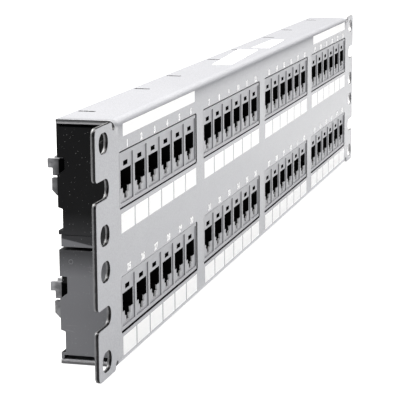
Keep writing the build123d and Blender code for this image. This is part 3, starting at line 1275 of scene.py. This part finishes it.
@dataclass
class PunchBlocks:
    """Punch down blocks: base, hooked end walls, teeth of both kinds and blades. Sizes in millimetres."""

    half: float = 49.5
    end_wall: float = 2.0
    base: float = 3.4
    gap_below_top: Point = (6.0, 6.9)
    ledge_below_top: float = 3.3
    upper_height: float = 9.4
    ledge_height: float = 7.6
    lower_height: float = 7.9
    lower_chamfer: float = 1.8
    tooth_setback: float = 0.4
    pair_pitch: float = 8.25
    slot_width: float = 0.9
    flat_drop: float = 2.4
    flat_corner: float = 0.6
    shoulder_drop: float = 2.2
    tip_half: float = 0.18
    foot_sink: float = 0.2
    blade_shift: float = 0.22
    blade_half: Point = (0.16, 1.5)
    blade_drop: Point = (2.6, 3.6)
    edge_round: float = 0.12

    def measure(self, layout: Layout) -> None:
        """Reads the block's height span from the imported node."""
        low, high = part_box("idc_block_1")
        row = layout.row_z(Row.UPPER)
        top = high.z / MM - row
        self.upper_span = (top - self.gap_below_top[0], top)
        self.lower_span = (low.z / MM - row, top - self.gap_below_top[1])
        self.upper_ledge = top - self.ledge_below_top

    def tooth_outline(self, kind: Tooth, tip: float) -> list[Point]:
        """Side-to-side outline of a tooth, in X and Y from the board.

        Args:
            kind: pointed or flat.
            tip: height of the pointed tooth's tip.

        Returns:
            The outline.
        """
        half = (self.pair_pitch / 2 - self.slot_width) / 2
        side, top, inner = tip - self.shoulder_drop, tip, self.tip_half
        if kind is Tooth.FLAT:
            top = tip - self.flat_drop
            side, inner = top - self.flat_corner, half - self.flat_corner
        foot = self.base - self.foot_sink
        return [(-half, foot), (half, foot), (half, side), (inner, top), (-inner, top), (-half, side)]

    def teeth_into(self, bm: BMesh, board: float) -> None:
        """Adds all teeth of one block."""
        pairs = 2 * PORTS_PER_MODULE
        for span, height in ((self.upper_span, self.upper_height), (self.lower_span, self.lower_height)):
            tip = height - self.tooth_setback
            for i in range(2 * pairs - 1):
                kind = Tooth.POINTED if i % 2 == 0 else Tooth.FLAT
                x = (i + 1 - pairs) * self.pair_pitch / 2
                outline = self.tooth_outline(kind, tip)
                part = bmesh.new()
                prism_into(part, outline, lambda p, d: (x + p[0], board + p[1], d), *span)
                bevel_sharp(part, self.edge_round, 1)
                mesh = mesh_from(part, "tooth")
                bm.from_mesh(mesh)
                bpy.data.meshes.remove(mesh)

    def wall_outline(self) -> list[Point]:
        """Outline of an end wall with its hook, in Y from the board and Z."""
        low, high = self.lower_span[0], self.upper_span[1]
        return [(0, low), (self.lower_height - self.lower_chamfer, low),
                (self.lower_height, low + self.lower_chamfer), (self.lower_height, self.lower_span[1]),
                (self.base, self.lower_span[1]), (self.base, self.upper_span[0]),
                (self.ledge_height, self.upper_span[0]), (self.ledge_height, self.upper_ledge),
                (self.upper_height, self.upper_ledge), (self.upper_height, high), (0, high)]

    def block(self, board: float) -> Mesh:
        """The whole block at the middle of the panel.

        Args:
            board: depth of the board's rear face.

        Returns:
            The block's mesh.
        """
        bm = bmesh.new()
        low, high = self.lower_span[0], self.upper_span[1]
        box_into(bm, (-self.half, board, low), (self.half, board + self.base, high))
        for side in (-1, 1):
            start, end = side * self.half, side * (self.half + self.end_wall)
            prism_into(bm, self.wall_outline(), lambda p, d: (d, board + p[0], p[1]), start, end)
        bevel_sharp(bm, self.edge_round, 2)
        self.teeth_into(bm, board)
        return mesh_from(bm, "punch_block")

    def blade(self, board: float) -> Mesh:
        """One pair of slotted blades in the wire slots of a port's row."""
        bm = bmesh.new()
        thin, tall = self.blade_half
        for span, drop in zip((self.upper_span, self.lower_span), self.blade_drop):
            z, top = (span[0] + span[1]) / 2, board + self.lower_height - drop
            for x in (-self.blade_shift, self.blade_shift):
                box_into(bm, (x - thin, board + self.base, z - tall), (x + thin, top, z + tall))
        return mesh_from(bm, "punch_blades")

    def build(self, layout: Layout, lattice: Lattice, finishes: Finishes) -> None:
        """Places a block in every module and blades in every slot."""
        self.measure(layout)
        block = self.block(layout.board_back)
        for i, node in enumerate(module_nodes("idc_block")):
            row, column = divmod(i, MODULES_PER_ROW)
            mesh = block.copy()
            place = Vector((layout.module_x(column), 0.0, layout.row_z(Row(row)))) * MM
            mesh.transform(Matrix.Translation(place))
            made = shown(mesh, f"dressed_{node}")
            soften(made)
            finish_piece(made, [finishes.polymer], [node])
        slots = PORTS_PER_MODULE * 4
        levels = {"Item": (slots, self.pair_pitch / 2), **layout.modules()}
        lattice.spread(self.blade(layout.board_back), finishes.tin, "clear_grey_plastic", levels)


@dataclass
class Boards:
    """Circuit boards and the solder joints of the jack pins. Sizes in millimetres."""

    joint_radius: float = 0.55
    joint_tip: float = 0.18
    joint_sides: int = 10
    joint_height: float = 0.45
    joint_rise: float = 12.6
    row_gap: float = 2.0
    pins_per_row: int = 4
    pin_pitch: float = 2.04
    pin_shift: float = 0.51

    def joint(self, board: float) -> Mesh:
        """Two staggered solder cones."""
        bm = bmesh.new()
        for rise, shift in ((0.0, -self.pin_shift), (self.row_gap, self.pin_shift)):
            center = (shift, board + self.joint_height / 2, self.joint_rise + rise)
            place = Matrix.Translation([c * MM for c in center])
            turn = Matrix.Rotation(-math.pi / 2, 4, "X")
            radii = {"radius1": self.joint_radius * MM, "radius2": self.joint_tip * MM}
            bmesh.ops.create_cone(bm, cap_ends=True, segments=self.joint_sides, **radii,
                                  depth=self.joint_height * MM, matrix=place @ turn)
        return mesh_from(bm, "solder_joints")

    def build(self, layout: Layout, lattice: Lattice, finishes: Finishes) -> None:
        """Dresses the boards and adds the joints."""
        dress_nodes(module_nodes("circuit_board"), finishes.board)
        levels = {"Item": (self.pins_per_row, self.pin_pitch), **layout.ports()}
        lattice.spread(self.joint(layout.board_back), finishes.tin, "board_laminate", levels)


@dataclass
class Stickers:
    """The two blank stickers on the upper flange."""

    names: tuple[str, ...] = ("sticker_long", "sticker_short")

    def build(self, finishes: Finishes) -> None:
        """Gives both their paper."""
        dress_nodes(self.names, finishes.paper)


@dataclass
class Studio:
    """Pale floor, soft light and the camera at the photo's angle. Lengths in metres, angles in degrees."""

    camera_place: tuple[float, float, float] = (-0.7476, -0.1779, 0.1244)
    azimuth: float = -74.510
    elevation: float = 11.027
    roll: float = 0.411
    focal_mm: float = 147.04
    sensor_mm: float = 36.0
    reach: float = 30.0
    floor_size: float = 14.0
    floor_gap: float = 0.0002
    sky: float = 0.42
    horizon: float = 0.02
    dusk: Point = (0.10, 0.32)

    def floor(self, finishes: Finishes) -> None:
        """A large plane just under the object."""
        level = CAD_BOX[0].z - self.floor_gap
        bm = bmesh.new()
        bmesh.ops.create_grid(bm, x_segments=1, y_segments=1, size=self.floor_size / 2,
                              matrix=Matrix.Translation((0, 0, level)))
        made = shown(mesh_from(bm, "floor"), "floor")
        made.data.materials.append(finishes.floor)

    def camera(self) -> None:
        """Places the camera with the photo's turn, tilt and roll."""
        a, e = math.radians(self.azimuth), math.radians(self.elevation)
        back = Vector((math.sin(a) * math.cos(e), -math.cos(a) * math.cos(e), math.sin(e)))
        right = (-back).cross(Vector((0, 0, 1))).normalized()
        up = back.cross(right)
        turn = Matrix((right, up, back)).transposed().to_4x4()
        tilt = Matrix.Rotation(math.radians(-self.roll), 4, "Z")
        data = bpy.data.cameras.new("camera")
        data.lens = self.focal_mm
        data.sensor_width = self.sensor_mm
        data.clip_end = self.reach
        made = shown(data, "camera")
        made.matrix_world = Matrix.Translation(self.camera_place) @ turn @ tilt
        bpy.context.scene.camera = made

    def area(self, name: str, place: Sequence[float], size: Point, power: float, tint: Color) -> None:
        """One soft rectangular light that faces the origin.

        Args:
            name: the light's name.
            place: where it hangs.
            size: its width and height.
            power: its power in watts.
            tint: colour of its light.
        """
        data = bpy.data.lights.new(name, "AREA")
        data.shape = "RECTANGLE"
        data.size, data.size_y = size
        data.energy = power
        data.color = tint
        made = shown(data, name)
        made.location = place
        made.rotation_euler = (-Vector(place)).to_track_quat("-Z", "Y").to_euler()

    def world(self) -> None:
        """A pale sky that is darker towards the horizon."""
        world = bpy.data.worlds.new("sky")
        world.use_nodes = True
        wiring = Wiring(world.node_tree)
        place = wiring.out("ShaderNodeTexCoord", output="Generated")
        height = wiring.out("ShaderNodeSeparateXYZ", {0: place}, "Z")
        glow = height.ramp(*self.dusk, self.horizon, self.sky, "SMOOTHSTEP")
        seen = wiring.out("ShaderNodeLightPath", output="Is Camera Ray")
        shade = world.node_tree.nodes["Background"].inputs
        wiring.feed(shade["Color"], (1.0, 1.0, 1.0, 1.0))
        wiring.feed(shade["Strength"], glow.most(seen))
        bpy.context.scene.world = world
        bpy.context.scene.view_settings.view_transform = "Standard"

    def build(self, finishes: Finishes) -> None:
        """Sets up the whole studio."""
        self.floor(finishes)
        self.world()
        self.area("top_light", (0.1, 0.5, 1.5), (1.8, 1.4), 92.0, (1.0, 0.985, 0.955))
        self.area("front_light", (0.5, -1.5, 0.9), (1.4, 1.0), 5.0, (1.0, 1.0, 1.0))
        self.camera()


def main() -> None:
    """Builds the dressed panel and its studio in order."""
    logging.basicConfig(level=logging.INFO, format="%(name)s %(message)s")
    finishes = Finishes()
    layout = Layout()
    lattice = Lattice()
    FoldedSheet().build(layout, finishes)
    JackBlocks().build(layout, lattice, finishes)
    ModuleFrames().build(layout, lattice, finishes)
    PunchBlocks().build(layout, lattice, finishes)
    Boards().build(layout, lattice, finishes)
    Stickers().build(finishes)
    Printing().build(layout, lattice, finishes)
    Studio().build(finishes)


if __name__ == "__main__":
    main()
